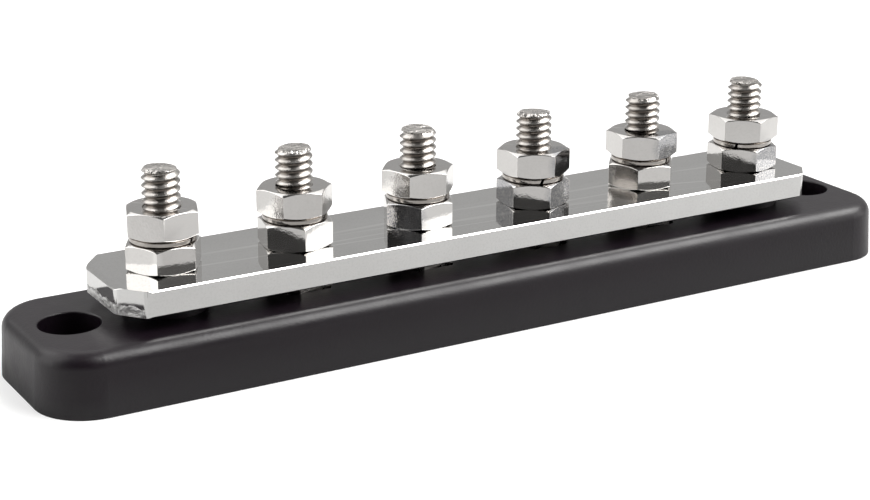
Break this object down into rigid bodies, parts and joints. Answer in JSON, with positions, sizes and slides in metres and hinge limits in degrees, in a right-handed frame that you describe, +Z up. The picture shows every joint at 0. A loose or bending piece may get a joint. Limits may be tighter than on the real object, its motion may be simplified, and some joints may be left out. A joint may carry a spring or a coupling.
{
  "type": "power distribution bus bar",
  "caption": "Power distribution bus bar: plated bar on an insulating moulded base, with a row of threaded studs, nuts and split lock washers for cable lugs.",
  "frame": {"origin": "centre of the base's underside, on the surface that the base stands on", "axes": "+X along the bar from the first stud to the last, +Y across the bar, +Z up along the studs"},
  "size_m": [0.1652, 0.0316, 0.0335],
  "materials": {
    "base_plastic": "satin black moulded plastic with a fine grain",
    "bar_plating": "bright nickel plate, mirror smooth",
    "stud_plating": "bright plate on rolled thread",
    "nut_plating": "bright nickel plate with faint machining marks",
    "washer_plating": "bright plate on spring steel"
  },
  "bodies": {
    "terminal_block": {"base": "base_plastic", "bus_bar": "bar_plating", "stud_1": "stud_plating", "stud_2": "stud_plating", "stud_3": "stud_plating", "stud_4": "stud_plating", "stud_5": "stud_plating", "stud_6": "stud_plating", "lower_nut_1": "nut_plating", "lower_nut_2": "nut_plating", "lower_nut_3": "nut_plating", "lower_nut_4": "nut_plating", "lower_nut_5": "nut_plating", "lower_nut_6": "nut_plating"},
    "washer_body_1": {"lock_washer_1": "washer_plating"},
    "nut_body_1": {"upper_nut_1": "nut_plating"},
    "washer_body_2": {"lock_washer_2": "washer_plating"},
    "nut_body_2": {"upper_nut_2": "nut_plating"},
    "washer_body_3": {"lock_washer_3": "washer_plating"},
    "nut_body_3": {"upper_nut_3": "nut_plating"},
    "washer_body_4": {"lock_washer_4": "washer_plating"},
    "nut_body_4": {"upper_nut_4": "nut_plating"},
    "washer_body_5": {"lock_washer_5": "washer_plating"},
    "nut_body_5": {"upper_nut_5": "nut_plating"},
    "washer_body_6": {"lock_washer_6": "washer_plating"},
    "nut_body_6": {"upper_nut_6": "nut_plating"}
  },
  "joints": [
    {"name": "nut_lift_1", "type": "slide", "parent": "terminal_block", "child": "washer_body_1", "axis": [0, 0, 1], "range_m": [0, 0.00889]},
    {"name": "nut_turn_1", "type": "hinge", "parent": "washer_body_1", "child": "nut_body_1", "pos_m": [-0.05765, 0, 0.02255], "axis": [0, 0, 1], "range_deg": [0, 2530]},
    {"name": "nut_lift_2", "type": "slide", "parent": "terminal_block", "child": "washer_body_2", "axis": [0, 0, 1], "range_m": [0, 0.00889]},
    {"name": "nut_turn_2", "type": "hinge", "parent": "washer_body_2", "child": "nut_body_2", "pos_m": [-0.03435, 0, 0.02255], "axis": [0, 0, 1], "range_deg": [0, 2530]},
    {"name": "nut_lift_3", "type": "slide", "parent": "terminal_block", "child": "washer_body_3", "axis": [0, 0, 1], "range_m": [0, 0.00889]},
    {"name": "nut_turn_3", "type": "hinge", "parent": "washer_body_3", "child": "nut_body_3", "pos_m": [-0.01105, 0, 0.02255], "axis": [0, 0, 1], "range_deg": [0, 2530]},
    {"name": "nut_lift_4", "type": "slide", "parent": "terminal_block", "child": "washer_body_4", "axis": [0, 0, 1], "range_m": [0, 0.00889]},
    {"name": "nut_turn_4", "type": "hinge", "parent": "washer_body_4", "child": "nut_body_4", "pos_m": [0.01225, 0, 0.02255], "axis": [0, 0, 1], "range_deg": [0, 2530]},
    {"name": "nut_lift_5", "type": "slide", "parent": "terminal_block", "child": "washer_body_5", "axis": [0, 0, 1], "range_m": [0, 0.00889]},
    {"name": "nut_turn_5", "type": "hinge", "parent": "washer_body_5", "child": "nut_body_5", "pos_m": [0.03555, 0, 0.02255], "axis": [0, 0, 1], "range_deg": [0, 2530]},
    {"name": "nut_lift_6", "type": "slide", "parent": "terminal_block", "child": "washer_body_6", "axis": [0, 0, 1], "range_m": [0, 0.00889]},
    {"name": "nut_turn_6", "type": "hinge", "parent": "washer_body_6", "child": "nut_body_6", "pos_m": [0.05885, 0, 0.02255], "axis": [0, 0, 1], "range_deg": [0, 2530]}
  ],
  "couplings": [
    {"joint": "nut_turn_1", "follows": "nut_lift_1", "rad_per_m": 4947.4},
    {"joint": "nut_turn_2", "follows": "nut_lift_2", "rad_per_m": 4947.4},
    {"joint": "nut_turn_3", "follows": "nut_lift_3", "rad_per_m": 4947.4},
    {"joint": "nut_turn_4", "follows": "nut_lift_4", "rad_per_m": 4947.4},
    {"joint": "nut_turn_5", "follows": "nut_lift_5", "rad_per_m": 4947.4},
    {"joint": "nut_turn_6", "follows": "nut_lift_6", "rad_per_m": 4947.4}
  ]
}
